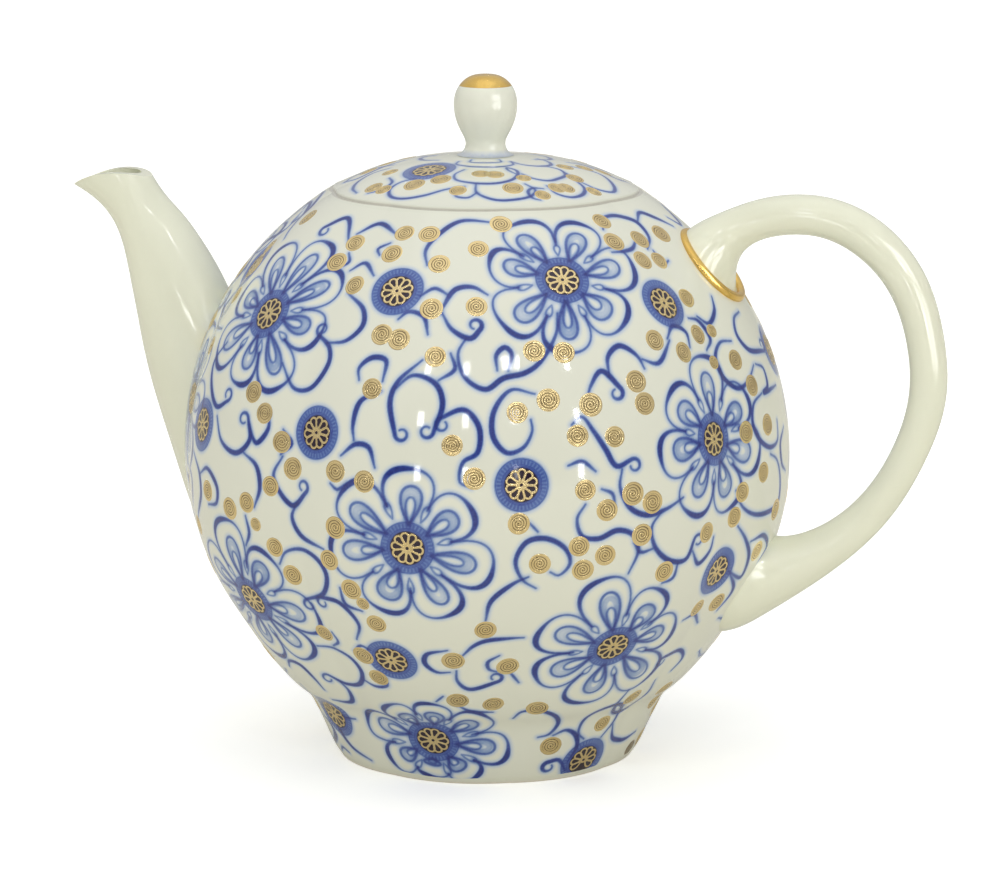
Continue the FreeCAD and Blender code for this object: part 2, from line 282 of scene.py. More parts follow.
def scroll(skin, middle_angle, knots, thick=0.84, thin=0.36, strength=0.94, curled=False):
    """A curved line through some places, thin at its ends, that swells every so often."""
    degrees = np.radians([knot[0] for knot in knots])
    alongs = skin.along_at(np.array([knot[1] for knot in knots]))
    centre_angle = float(degrees.mean())
    centre_along = float(alongs.mean())
    flat = np.stack([(degrees - centre_angle) * skin.radius_at(alongs), alongs - centre_along], axis=1)
    points = curve_points(flat)
    if curled:
        first = flat[1] - flat[0]
        last = flat[-1] - flat[-2]
        side = 1.0 if first[0] * last[1] > first[1] * last[0] else -1.0
        points = np.concatenate([points, curl_points(points[-1], points[-3], side)])
    run = np.concatenate([[0.0], np.cumsum(np.hypot(*np.diff(points, axis=0).T))])
    swells = max(round(run[-1] / SWELL_EVERY), 1)
    swell = np.abs(np.sin(math.pi * swells * run / run[-1])) ** 1.4
    top = thin + (thick - thin) * min(run[-1] / FULL_SWELL_FROM, 1.0)
    width = thin + (top - thin) * swell
    local_stroke(skin, middle_angle + centre_angle, centre_along, points, width, strength)


def teardrop(length, width, turn, start, count=34):
    """A closed teardrop that points at the origin, from start outwards, turned about it."""
    t = np.linspace(0.0, 2.0 * math.pi, count)
    out = start + length * (1.0 - np.cos(t)) / 2.0
    aside = width * np.sin(t) * np.sin(t / 2.0) ** 1.1
    c = math.cos(turn)
    s = math.sin(turn)
    return np.stack([out * c - aside * s, out * s + aside * c], axis=1)


# ---------------------------------------------------------------- painted motifs

DISC = 7.8
DARK_DISC = 5.7
ROSETTE = 4.7
DISC_RAYS = 40.0
PETAL_NOTCH = 12.6
PETAL_OUTLINE_THIN = 0.36
PETAL_OUTLINE_SWELL = 0.58

def painted_disc(skin, angle, along, radius=DISC):
    """A mid-blue disc with a fine rayed border and a near-black middle for the gold."""
    columns, rows, grid_angle, grid_along = skin.window_round(angle, along, radius + 2.0)
    if not len(rows):
        return
    x, y = skin.offset(angle, along, grid_angle, grid_along)
    out = np.hypot(x, y)
    scale = radius / DISC
    rays = 0.5 + 0.5 * np.cos(np.arctan2(y, x) * DISC_RAYS)
    border = fade(out - DARK_DISC * scale, 0.7) * fade(radius - 0.6 - out, 0.6)
    load = 0.59 + 0.20 * rays * border
    load = np.maximum(load, 0.78 * np.exp(-((out - radius + 0.35) / 0.5) ** 2))
    load = np.maximum(load, 0.84 * np.exp(-((out - DARK_DISC * scale) / 0.45) ** 2))
    load = np.maximum(load, 0.78 * fade(DARK_DISC * scale - out, 0.5))
    ink = load * fade(radius - out, EDGE)
    bleed = BLEED_STRENGTH * np.exp(-(np.maximum(out - radius, 0.0) / BLEED * 2.0) ** 2)
    skin.lay(skin.cobalt, columns, rows, np.maximum(ink, bleed))
    skin.lay(skin.night, columns, rows, fade((ROSETTE + 0.25) * scale - out, 0.4))


def painted_flower(skin, angle, along, petals, first_aim, reach, seed):
    """Petals with a thick and thin outline, teardrops between them and nested loops inside.
    They vary a little, as brushwork does, and shorten where they meet the skin's lower edge."""
    rng = np.random.default_rng(seed)
    aims = math.radians(first_aim) + 2.0 * math.pi * np.arange(petals) / petals
    aims += rng.uniform(-0.07, 0.07, petals)
    room = (along - 0.8) / np.maximum(-np.sin(aims), 0.05)
    reaches = np.minimum(reach * rng.uniform(0.90, 1.10, petals), room)
    for number, (aim, tip) in enumerate(zip(aims, reaches)):
        before = (aim - aims[number - 1]) % (2.0 * math.pi) / 2.0
        after = (aims[(number + 1) % len(aims)] - aim) % (2.0 * math.pi) / 2.0
        inner = min(PETAL_NOTCH + rng.uniform(-0.8, 0.8), tip - 1.5)
        t = np.linspace(-1.0, 1.0, 34)
        out = inner + (tip - inner) * (1.0 - np.abs(t) ** 2.6) ** 0.55
        swing = aim + np.where(t < 0.0, before, after) * t * (1.0 + 0.12 * (1.0 - t * t))
        outline = np.stack([out * np.cos(swing), out * np.sin(swing)], axis=1)
        heavy = 0.35 if rng.random() < 0.6 else -0.35
        width = PETAL_OUTLINE_THIN + PETAL_OUTLINE_SWELL * np.exp(-((t - heavy) / 0.48) ** 2)
        local_stroke(skin, angle, along, outline, width, 0.95)
        tail = teardrop(rng.uniform(3.4, 4.8), 1.15, aim + after + rng.uniform(-0.10, 0.10), 0.0, 20)
        tail += (inner - 3.9) * np.array([math.cos(aim + after), math.sin(aim + after)])
        local_stroke(skin, angle, along, tail, 0.34, 0.84)
        length = tip - DISC - rng.uniform(3.0, 4.4)
        plump = min(before, after) * 14.0 * rng.uniform(0.62, 0.74)
        lean = aim + rng.uniform(-0.07, 0.07)
        wash = teardrop(length * 0.84, plump * 0.66, lean, DISC - 0.6)
        local_stroke(skin, angle, along, wash, 0.95, rng.uniform(0.16, 0.34))
        loop = teardrop(length, plump, lean, DISC - 0.8)
        local_stroke(skin, angle, along, loop, 0.48, 0.84)
        inside = teardrop(length * rng.uniform(0.52, 0.74), plump * 0.45, lean, DISC - 0.8)
        local_stroke(skin, angle, along, inside, 0.40, 0.80)
    painted_disc(skin, angle, along)


# ---------------------------------------------------------------- gold ornaments

# Heights above the CAD surface. The skin dips into the porcelain along its two edges.
SKIN_LIFT = 0.12
EDGE_DIP = 0.22
GOLD_LIFT = 0.09
GOLD_DOME = 0.10
SPIRAL_TURNS = 3.4


class Ribbons:
    """Collects raised gold lines on a skin and turns them into one mesh."""

    ACROSS = np.array([-1.0, -0.62, 0.0, 0.62, 1.0])
    RISE = np.array([0.0, 0.75, 1.0, 0.75, 0.0])

    def __init__(self, skin):
        self.skin = skin
        self.points = []
        self.faces = []
        self.count = 0

    def add(self, angle, along, line, half_width, closed=False):
        ahead = np.roll(line, -1, axis=0)
        behind = np.roll(line, 1, axis=0)
        if not closed:
            ahead[-1] = line[-1]
            behind[0] = line[0]
        heading = ahead - behind
        heading /= np.maximum(np.linalg.norm(heading, axis=1, keepdims=True), 1e-6)
        side = np.stack([-heading[:, 1], heading[:, 0]], axis=1)
        half_width = np.broadcast_to(half_width, (len(line),))
        spread = half_width[:, None, None] * self.ACROSS[None, :, None]
        flat = (line[:, None, :] + spread * side[:, None, :]).reshape(-1, 2)
        angles, alongs = self.skin.locate(angle, along, flat)
        lift = GOLD_LIFT + GOLD_DOME * np.tile(self.RISE, len(line))
        if np.any(alongs > self.skin.length - 0.2) or np.any(alongs < 0.3):
            return
        self.points.append(self.skin.place(angles, alongs, lift))
        wide = len(self.ACROSS)
        last = len(line) if closed else len(line) - 1
        first = np.arange(last)[:, None] * wide + np.arange(wide - 1)[None, :]
        following = (np.arange(last)[:, None] + 1) % len(line) * wide + np.arange(wide - 1)[None, :]
        quads = np.stack([first, first + 1, following + 1, following], axis=-1).reshape(-1, 4)
        self.faces.append(quads[:, ::-1] + self.count)
        self.count += len(line) * wide


def gold_dot(ribbons, angle, along, radius, turn=0.0):
    """A flat gold spiral that ends in a closed outer ring, on a dark brown ground."""
    skin = ribbons.skin
    columns, rows, grid_angle, grid_along = skin.window_round(angle, along, radius + 1.0)
    if len(rows):
        gap = np.hypot(*skin.offset(angle, along, grid_angle, grid_along))
        skin.lay(skin.umber, columns, rows, fade(radius - 0.3 - gap, 0.45))
    pitch = radius / 4.2
    sweep = np.linspace(0.0, 2.0 * math.pi * SPIRAL_TURNS, int(26 * SPIRAL_TURNS))
    out = 0.12 * pitch + pitch * sweep / (2.0 * math.pi)
    line = np.stack([out * np.cos(sweep + turn), out * np.sin(sweep + turn)], axis=1)
    ribbons.add(angle, along, line, pitch * 0.42)
    ring = np.linspace(0.0, 2.0 * math.pi, 30)[:-1]
    rim = (radius - pitch * 0.4) * np.stack([np.cos(ring), np.sin(ring)], axis=1)
    ribbons.add(angle, along, rim, pitch * 0.56, closed=True)


def gold_rosette(ribbons, angle, along, radius=ROSETTE, turn=0.0, petals=10):
    """Gold loops round a small ring, with the dark ground showing through them."""
    for petal in range(petals):
        aim = turn + 2.0 * math.pi * petal / petals
        loop = teardrop(radius * 0.74, radius * 0.30, aim, radius * 0.21, 23)[:-1]
        ribbons.add(angle, along, loop, radius * 0.072, closed=True)
    ring = np.linspace(0.0, 2.0 * math.pi, 17)[:-1]
    hub = radius * 0.17 * np.stack([np.cos(ring), np.sin(ring)], axis=1)
    ribbons.add(angle, along, hub, radius * 0.08, closed=True)


# ---------------------------------------------------------------- where everything is drawn
# Angles are degrees round the axis from the middle of the front, to the right; heights are
# millimetres above the table. The back carries the same design as the front.

# A flower: its place, how many petals, the direction of the first in degrees and their reach.
FLOWERS = [
    (-54, 137.5, 8, 36, 24), (19, 150, 7, 57, 22.5), (-14, 79, 7, 38, 23.5), (47.5, 104.5, 7, 33, 23),
    (-54.5, 55.5, 7, 44, 23.5), (28, 46.5, 7, 8, 24), (-17, 14.5, 8, 35, 20.5), (-84.5, 107, 8, 3, 24),
    (-87, 40, 7, 22, 21),
]

BUTTONS = [
    (-21, 147), (44, 142), (-33, 109), (-66, 104), (6.5, 97), (-21, 43),
    (52, 64), (37, 5.5), (-80, 147), (-57, 17), (80, 122),
]

DOTS = [
    (-40, 158), (-42, 153), (-25, 161), (-17, 161), (-26, 156), (-12, 154), (-2, 158), (5, 164),
    (-33, 148), (-12, 143), (-2, 144), (-22, 136), (-18, 135), (-10, 131), (10, 133), (16, 132),
    (-22, 122), (6, 117), (12, 120), (20, 118), (30, 123), (31, 117), (37, 133), (44, 129),
    (39, 158), (45, 153), (50, 158), (40, 163), (61, 158), (-50, 117), (-46, 112), (-41, 105),
    (-38, 98), (-28, 99), (-22, 97), (-6, 108), (-2, 99), (17, 110), (24, 109), (18, 95),
    (27, 93), (22, 89), (31, 90), (6, 86), (-62, 86), (-54, 83), (-49, 86), (-43, 92),
    (-28, 83), (-30, 73), (-43, 74), (-40, 66), (-26, 65), (-22, 55), (-37, 48), (-28, 43),
    (-26, 36), (-7, 44), (5, 41), (0, 54), (-7, 30), (2, 28), (10, 74), (17, 79),
    (18, 72), (22, 76), (29, 81), (35, 69), (45, 78), (63, 91), (56, 87), (58, 104),
    (66, 104), (63, 116), (60, 124), (54, 80), (65, 67), (50, 53), (57, 53), (70, 78),
    (22, 12), (14, 26), (45, 25), (40, 17), (51, 133), (53, 142.5), (51.5, 152.5), (-76, 139),
    (-75.5, 124.5), (-72, 161), (-93, 143), (-96, 136), (-91, 128), (-95, 121), (-79, 84), (-98, 79),
    (-93, 63), (-86, 59), (-74, 60), (-71, 73), (-69, 34), (-73, 17), (-79, 23), (-95, 14),
    (-100, 27), (-91, 9), (72, 53), (78, 37), (62, 24), (67, 19), (75, 15), (74, 6),
    (66, 4), (-106, 62),
]

SMALL_DOTS = [(-47, 80), (-24, 61), (53, 125), (56, 133)]

DOT_RADII = (2.9, 3.3)
SMALL_DOT_RADIUS = 2.0
SPOUT_DOT_RADIUS = 3.1

SCROLLS = [
    ((-41.5, 160), (-36, 163), (-27, 160.5)),
    ((-40, 155.5), (-38.3, 153.5), (-41, 151.5)),
    ((-36.5, 151.5), (-33, 153.5), (-28.5, 150.5)),
    ((-34, 146), (-28, 142), (-27, 138), (-30, 134), (-35, 133)),
    ((-49.5, 108), (-47, 103.5), (-44.5, 108), (-45, 113)),
    ((-50, 100), (-46.5, 97), (-45.5, 91), (-47, 85)),
    ((-65.5, 90), (-62, 92.5), (-58, 88), (-58.5, 83.5), (-62, 82)),
    ((-70, 95), (-66, 90), (-65.5, 84), (-70, 75.5)),
    ((-49.5, 82), (-49, 77), (-50.5, 73)),
    ((-41, 108.5), (-38.7, 105), (-41, 101.5)),
    ((-37, 88), (-38.2, 84), (-36.5, 79), (-31, 76)),
    ((-34.5, 49), (-33.8, 46), (-36, 44)),
    ((-40, 31), (-39, 28), (-41, 24), (-49, 23.5)),
    ((-46, 17), (-52, 16.5), (-58, 12), (-55, 7), (-46, 3.5)),
    ((-65, 13), (-64.5, 10), (-69, 6)),
    ((-15, 153.5), (-16.5, 157), (-14, 161), (-8, 164.3), (3, 164.3)),
    ((-28, 158.5), (-31, 157), (-29.5, 155.5)),
    ((-15, 146), (-12, 148), (-8.5, 146.5)),
    ((-10, 142), (-7, 148), (-3, 148.7), (0.5, 147)),
    ((-4, 136), (-5.5, 132), (-4, 126), (0, 123), (3.5, 126), (8, 127.5), (11, 130), (15, 137),
     (16, 142)),
    ((-19, 140), (-17, 142), (-13.5, 141), (-12, 136.5)),
    ((-20, 121.5), (-24, 118.5), (-25, 112), (-24.5, 108)),
    ((-25, 124), (-25.5, 127), (-23, 130), (-20, 129.5), (-20, 124)),
    ((-7, 132), (-6, 128), (-9, 125)),
    ((-27, 103.5), (-24, 107), (-21.5, 106.5), (-20, 101)),
    ((-29, 95.5), (-27.5, 94), (-25.5, 96)),
    ((-28.5, 65), (-28, 60), (-24.5, 58.5)),
    ((-30, 44), (-27.5, 46.5), (-25.5, 45.5)),
    ((-31, 34), (-28, 32.5), (-24.5, 33.5), (-23.8, 36)),
    ((-8, 47.5), (-12.5, 46), (-13.3, 43), (-11, 40), (-8, 40)),
    ((-5, 45.5), (-2.5, 48.8), (0, 50.3), (8, 50.5)),
    ((0, 57), (1, 63), (5, 68), (8, 70)),
    ((3, 45), (0.5, 43), (0.8, 40.5), (2.5, 39.5)),
    ((5.5, 39), (8, 35)),
    ((-12.5, 29.5), (-10.5, 31.5)),
    ((-7, 28), (-4, 26), (2, 25)),
    ((9.5, 121.8), (5, 123), (1.5, 117), (1.5, 110), (4, 106), (7, 107.5), (8.7, 112), (8.5, 115)),
    ((4.5, 128), (5.3, 132.5), (4, 134), (2.2, 132), (2.3, 128)),
    ((24.5, 125), (25, 130), (28, 132.5), (31.5, 129.5), (32.5, 126)),
    ((32.5, 128.5), (36, 127), (41, 132.5)),
    ((40.5, 133), (43.5, 136), (47, 134), (46.5, 130)),
    ((15, 102), (17.5, 103), (20, 100)),
    ((25, 100), (24.5, 95), (26.5, 89), (30, 86.5), (34, 87.5), (38, 90)),
    ((18, 91), (16.5, 87), (17.5, 82), (20.5, 81), (24, 83), (27, 81.5), (28.5, 77), (27, 70)),
    ((21, 95), (23, 93.5), (23.5, 90)),
    ((27.5, 79), (29, 76), (31.5, 76.5)),
    ((9.5, 66.5), (7, 69), (5.5, 75), (7.5, 80.5), (11, 81.5), (14.5, 78.5), (15.5, 74), (13.5, 70.5),
     (12, 71.5)),
    ((8, 86), (9.5, 83.5)),
    ((41.5, 73.5), (44, 69), (47, 72), (47.5, 76)),
    ((38, 71), (37.5, 66.5), (35, 65.5)),
    ((8, 22), (10, 24.5), (15, 25), (20, 23), (22.5, 19.5), (20.5, 16), (17, 15)),
    ((22, 15.5), (26, 17), (30, 15), (32, 11), (30, 6)),
    ((34, 13), (31, 15.5), (33, 22.5), (40, 24), (44, 22), (46, 17), (42, 12)),
    ((38, 161), (41, 163.5), (48, 164), (55, 162), (54.5, 158), (50, 155.5)),
    ((36, 155.5), (40, 155.5), (44, 156), (48, 158)),
    ((56, 162), (61, 163.5), (66, 161.5), (71, 158.5)),
    ((52, 155), (52.5, 151.5), (55, 152)),
    ((50, 137.5), (53, 136.5), (54.5, 131), (52, 128.5)),
    ((53.5, 137.5), (56, 135), (60, 137.5), (62, 141)),
    ((61, 129), (57, 129.5), (54, 126), (54.5, 120.5), (58, 116.5), (62, 117.5), (66, 121)),
    ((67, 121), (70, 119), (69.5, 114), (67, 113), (75, 113)),
    ((66, 113), (62, 111), (60.5, 106), (62, 101), (66, 97.5), (70, 98.5), (71, 104)),
    ((66, 95.5), (69, 93), (71, 87), (71, 80), (66, 78.5), (60, 79.5), (56, 83), (54, 88)),
    ((75, 101), (71.5, 97), (72, 91), (75, 88)),
    ((55.5, 77), (59, 72), (62, 66), (62, 60), (56, 63)),
    ((57, 62), (61, 56), (59, 50)),
    ((61, 71), (66, 71.5), (70, 67), (68, 63)),
    ((46, 50.5), (50, 51), (54, 47)),
    ((40, 29), (39.5, 24), (43, 20), (49, 20), (53, 24), (51, 29)),
    ((46, 15), (49, 10), (56, 8), (64, 9.5)),
    ((-72.5, 155), (-76, 157), (-79.5, 159.5), (-84, 162), (-90, 163), (-96, 161.5), (-98, 158.5)),
    ((-79, 141.5), (-82.5, 138), (-84, 134), (-82, 130.5), (-77, 129.5), (-72, 130)),
    ((-87, 144), (-90.5, 147.5), (-90, 152), (-86, 154.5), (-83, 157), (-84, 160)),
    ((74, 160.5), (78, 158), (81.5, 160), (86, 162.5), (91, 161.5)),
    ((-76.5, 86), (-74, 88.5), (-72, 86.5), (-72.5, 82), (-74.5, 77.5), (-76, 73)),
    ((-73, 69), (-77.5, 65.5), (-83, 64.5), (-88, 67), (-93, 68.5), (-97, 66)),
    ((-67, 3), (-63, 5), (-59, 4)),
    ((-57.5, 33), (-55, 35.5), (-51, 35), (-49, 31), (-48.5, 27)),
    ((-62, 31), (-66, 28.5), (-69, 25), (-67, 21.5), (-62, 22.5), (-61, 26)),
    ((-72, 24), (-76, 20.5), (-82, 19), (-88, 20), (-93, 18.5), (-99, 19.5), (-103, 23)),
]

# These scrolls end in a small curl.
CURLED_SCROLLS = [
    ((-42.5, 158), (-50, 163), (-56, 160)),
    ((-44.5, 126), (-40, 120), (-36, 121), (-33, 128), (-34, 132), (-38, 135)),
    ((-65, 127.5), (-68, 121), (-61, 110.5), (-57, 113)),
    ((-60, 108), (-57, 101.5), (-52, 99.5), (-48.8, 104), (-50, 110)),
    ((-40.5, 101), (-42.3, 95), (-38, 87.3), (-34.5, 92)),
    ((-42.5, 69), (-40.5, 73), (-36, 74.5), (-32.5, 72), (-31.2, 68), (-33, 62), (-38.5, 58.5)),
    ((-28, 48.5), (-26.2, 54), (-29.5, 60), (-34, 60.5)),
    ((-41, 43), (-36, 43), (-32, 41), (-30.5, 37), (-33, 32), (-38, 30.5), (-42.5, 33)),
    ((-9.5, 142), (-7, 138), (-3, 136), (-1, 138.5)),
    ((-12.5, 130), (-17, 124), (-18, 119), (-16.5, 110)),
    ((-17.5, 122), (-14, 126), (-9.5, 124), (-8, 119), (-9.5, 111)),
    ((-2.5, 96.5), (-4.5, 98), (-4, 103.5), (-1.5, 106), (-1.2, 113), (-4, 117.5), (-8.5, 115)),
    ((-6.5, 40.5), (-6.5, 37), (-4, 34), (3, 36)),
    ((19.5, 120), (20.5, 123), (23, 126.5), (26.5, 121.5)),
    ((16, 113), (18, 115), (20, 111), (22, 106), (24, 101), (27, 102.5)),
    ((33, 87), (31, 83), (32, 77), (36, 72), (40, 71.5), (41.5, 77)),
    ((30, 3), (26, 7), (22, 6.5)),
    ((70, 135), (66, 134), (64, 130), (66, 125.5), (74, 123)),
    ((56, 31), (57, 35), (54, 38), (47, 38)),
    ((-97, 128), (-93.5, 131.5), (-89, 132), (-86.5, 135.5)),
    ((-96.5, 96), (-100, 92), (-100.5, 87), (-97.5, 83.5)),
    ((-85, 82), (-80.5, 79.5), (-80, 74.5), (-84, 71), (-89, 72)),
    ((62, 47), (66.5, 45.5), (71, 44), (75, 42)),
    ((64, 36), (68, 33.5), (73, 33), (76.5, 30), (75.5, 26)),
    ((-70, 14), (-65, 12.5), (-64, 9), (-69, 6), (-76, 4.5)),
    ((-86, 16), (-84, 11.5), (-87, 7), (-93, 4), (-100, 4.5), (-104, 8.5)),
]

# Above the spout there is room for one more flower. Here angles start at the spout's middle.
SPOUT_FLOWER_HEIGHT = 148.5
SPOUT_DOTS = [(-24, 150), (-27, 145), (24, 152), (28, 147), (-15, 128), (15, 129)]
SPOUT_SCROLLS = [
    ((-27, 157), (-24, 161), (-18, 164), (-10, 165.5), (-3, 164)),
    ((4, 163.5), (11, 165.5), (18, 164.5), (24, 161), (21, 158.5), (18.5, 161)),
    ((-21, 140), (-25, 136.5), (-24, 132), (-19, 130.5), (-16, 133.5), (-19, 136)),
    ((18, 137), (21, 133), (26, 132.5), (28, 136.5), (25, 140.5)),
]


def decorate_above_spout(skin, dots, rosettes):
    place = skin.along_at(SPOUT_FLOWER_HEIGHT)
    painted_flower(skin, math.pi, place, 8, 20, 20.5, 21)
    gold_rosette(rosettes, math.pi, place)
    for knots in SPOUT_SCROLLS:
        scroll(skin, math.pi, knots)
    for degrees, height in SPOUT_DOTS:
        place = skin.along_at(height)
        gold_dot(dots, math.pi + math.radians(degrees), place, SPOUT_DOT_RADIUS, degrees)


def decorate_pot(skin, dots, rosettes):
    rng = np.random.default_rng(7)
    for middle in BOTH_SIDES:
        for knots in SCROLLS:
            scroll(skin, middle, knots)
        for knots in CURLED_SCROLLS:
            scroll(skin, middle, knots, curled=True)
        for number, (degrees, height, petals, first_aim, reach) in enumerate(FLOWERS):
            angle = middle + math.radians(degrees)
            along = skin.along_at(height)
            painted_flower(skin, angle, along, petals, first_aim, reach, number)
            gold_rosette(rosettes, angle, along, ROSETTE, rng.uniform(0.0, 0.6))
        for degrees, height in BUTTONS:
            angle = middle + math.radians(degrees)
            along = skin.along_at(height)
            painted_disc(skin, angle, along)
            gold_rosette(rosettes, angle, along, ROSETTE, rng.uniform(0.0, 0.6))
        for degrees, height in DOTS:
            place = skin.along_at(height)
            size = rng.uniform(*DOT_RADII)
            gold_dot(dots, middle + math.radians(degrees), place, size, rng.uniform(0.0, 6.2))
        for degrees, height in SMALL_DOTS:
            place = skin.along_at(height)
            turn = rng.uniform(0.0, 6.2)
            gold_dot(dots, middle + math.radians(degrees), place, SMALL_DOT_RADIUS, turn)
    decorate_above_spout(skin, dots, rosettes)


class LidSkin(Skin):
    """The lid is nearly flat, so its drawing is laid out as seen from above."""

    SOFTNESS = 20.0

    def along_at(self, radius):
        return np.interp(-np.asarray(radius), -self.radius, self.table)

    def locate(self, angle, along, points):
        outward = self.radius_at(along) - points[:, 1]
        radius = np.hypot(outward, points[:, 0])
        return angle + np.arctan2(points[:, 0], outward), self.along_at(radius)

    def offset(self, angle, along, grid_angle, grid_along):
        radius = self.radius_at(grid_along)[None, :]
        turn = (grid_angle - angle)[:, None]
        return radius * np.sin(turn), self.radius_at(along) - radius * np.cos(turn)


# On the lid each place is an angle and a distance from the knob's axis, and a dot has its
# radius as well.
LID_BUTTON = (-42.0, 24.0)
LID_THICK = 0.66
LID_THIN = 0.34

LID_SCROLLS = [
    ((-40, 11), (-33, 14.5), (-15, 17.8), (0, 18.6), (15, 17.8), (30, 15), (38, 11)),
    ((-24, 9.5), (-20, 12.5), (0, 13.8), (20, 12.5), (24, 9.5)),
    ((-17, 20.5), (-21, 24), (-17, 28), (-6, 31), (4, 31.5), (14, 29.5), (20, 26), (23, 22),
     (18, 19.5), (17, 22), (21, 26)),
    ((23, 25), (27, 29), (34, 31.5), (42, 31), (51, 29), (56, 25), (52, 21)),
    ((32, 13), (36, 17), (46, 20.5), (60, 21.5), (72, 18), (80, 14)),
    ((-5, 31.5), (-4, 36), (3, 39.5), (11, 40), (19, 38.5), (23, 35.5), (20, 32.5)),
    ((-9, 31.5), (-18, 34.8), (-26, 38.7), (-34, 40.8), (-41, 40.2), (-46, 37), (-46, 33.5), (-41, 31)),
    ((-14, 36.5), (-12, 39), (-7, 39.3), (-4, 37)),
    ((-60, 41), (-68, 40.5), (-76, 37.5), (-80, 33), (-77, 29)),
    ((-57, 33), (-50, 35), (-50, 38.5), (-54, 41)),
    ((30, 34), (31, 38), (36, 40.5), (43, 40), (49, 37), (51, 32.5), (54, 28.5)),
    ((27, 36), (22, 35.5), (19, 37), (19.5, 40), (22, 41)),
    ((72, 26), (78, 33), (70, 38.5), (61, 41), (55, 38), (52, 33)),
    ((-95, 24), (-88, 30), (-84, 37), (-90, 40.5)),
    ((95, 27), (88, 32), (85, 38), (92, 40.5)),
    ((-62, 14), (-78, 18), (-96, 18.5), (-112, 14)),
]

LID_DOTS = [
    (-66, 30, 2.4), (-56, 38.5, 2.6), (-49, 38.5, 2.3), (-36.5, 34, 3.1), (-25, 30, 3.0), (-3, 25, 2.7),
    (6, 25.5, 2.7), (-12.5, 36, 2.5), (13, 34.5, 3.0), (22, 29, 2.2), (34, 36, 2.5), (39, 36.5, 2.5),
    (24.5, 39, 2.3), (53, 32, 2.6), (51.5, 39.5, 2.3), (66, 25, 2.6), (80, 29, 2.6), (-92, 34, 2.6),
]


def decorate_lid(skin, dots, rosettes):
    rng = np.random.default_rng(11)
    for middle in BOTH_SIDES:
        for knots in LID_SCROLLS:
            scroll(skin, middle, knots, LID_THICK, LID_THIN)
        button = middle + math.radians(LID_BUTTON[0])
        painted_disc(skin, button, skin.along_at(LID_BUTTON[1]))
        gold_rosette(rosettes, button, skin.along_at(LID_BUTTON[1]))
        for degrees, radius, size in LID_DOTS:
            place = skin.along_at(radius)
            gold_dot(dots, middle + math.radians(degrees), place, size, rng.uniform(0.0, 6.2))


# ---------------------------------------------------------------- meshes


def build_mesh(name, points, quads, normals=None):
    """A smooth mesh object from millimetre points and quads."""
    mesh = bpy.data.meshes.new(name)
    mesh.vertices.add(len(points))
    mesh.vertices.foreach_set("co", (np.asarray(points) * MM).ravel())
    mesh.loops.add(4 * len(quads))
    mesh.loops.foreach_set("vertex_index", np.asarray(quads, np.int32).ravel())
    mesh.polygons.add(len(quads))
    mesh.polygons.foreach_set("loop_start", np.arange(len(quads), dtype=np.int32) * 4)
    mesh.update(calc_edges=True)
    mesh.shade_smooth()
    if normals is not None:
        mesh.normals_split_custom_set_from_vertices(normals.tolist())
    piece = bpy.data.objects.new(name, mesh)
    bpy.context.scene.collection.objects.link(piece)
    return piece


def grid_quads(across, up):
    """Quads of a grid whose points run up each column in turn."""
    corner = np.arange(across - 1)[:, None] * up + np.arange(up - 1)[None, :]
    corner = corner.ravel()
    return np.stack([corner, corner + up, corner + up + 1, corner + 1], axis=1)


def dress(piece, body, material):
    piece.data.materials.clear()
    piece.data.materials.append(material)
    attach(piece, body)


def skin_panel(skin, name, first_column, across, first_row, up, material, body, hole=None):
    """One part of a skin. A hole is its centre, seen from above, and its radius."""
    columns = first_column + np.arange(across + 1)
    rows = first_row + np.arange(up + 1)
    angle = (skin.first + columns * skin.step)[:, None]
    along = skin.along[rows][None, :]
    to_edge = np.minimum(along, skin.length - along)
    lift = SKIN_LIFT - EDGE_DIP * np.exp(-(to_edge / 0.8) ** 2)
    points = skin.place(angle, along, lift).reshape(-1, 3)
    normals = skin.normal(angle, along).reshape(-1, 3)
    quads = grid_quads(across + 1, up + 1)
    if hole:
        centre, radius = hole
        aside = points[:, :2] - centre
        gap = np.hypot(*aside.T)
        quads = quads[(gap[quads] > radius).any(axis=1)]
        inside = (gap < radius) & (gap > 0.0)
        points[inside, :2] = centre + aside[inside] * (radius / gap[inside])[:, None]
    piece = build_mesh(name, points, quads, normals)
    for layer in ("cobalt", "night", "umber"):
        values = getattr(skin, layer)[np.ix_(columns % skin.columns, rows)]
        attribute = piece.data.attributes.new(layer, "FLOAT", "POINT")
        attribute.data.foreach_set("value", values.astype(np.float32).ravel())
    dress(piece, body, material)
    return piece


def ribbon_piece(ribbons, name, material, body):
    points = np.concatenate(ribbons.points)
    quads = np.concatenate(ribbons.faces)
    piece = build_mesh(name, points, quads)
    dress(piece, body, material)
    return piece


# ---------------------------------------------------------------- materials


def tone(red, green, blue):
    """A colour as people name it, from 0 to 255, in the linear light Blender wants."""
    shares = [channel / 255.0 for channel in (red, green, blue)]
    light = [s / 12.92 if s <= 0.04045 else ((s + 0.055) / 1.055) ** 2.4 for s in shares]
    return (*light, 1.0)


